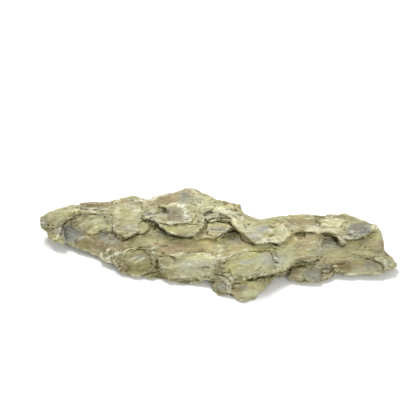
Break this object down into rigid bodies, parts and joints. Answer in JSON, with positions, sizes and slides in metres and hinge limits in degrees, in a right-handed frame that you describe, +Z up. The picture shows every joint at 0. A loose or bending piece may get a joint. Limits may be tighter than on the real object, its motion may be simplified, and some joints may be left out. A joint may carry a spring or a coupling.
{
  "type": "dragon stone",
  "caption": "Long craggy stone covered in overlapping scales with proud lower lips, worn hollows and clefts, lying on the flats of its underside.",
  "frame": {"origin": "on the ground, under the middle of the stone's bounding box", "axes": "+X along the stone, to the right as its scaled face is looked at; +Y to the back; +Z up"},
  "size_m": [0.3, 0.1044, 0.0511],
  "materials": {
    "stone": "dry matt clay stone, olive-khaki with cream crests, pink-brown and blue-grey patches"
  },
  "bodies": {
    "root": {"stone": "stone"}
  },
  "joints": []
}
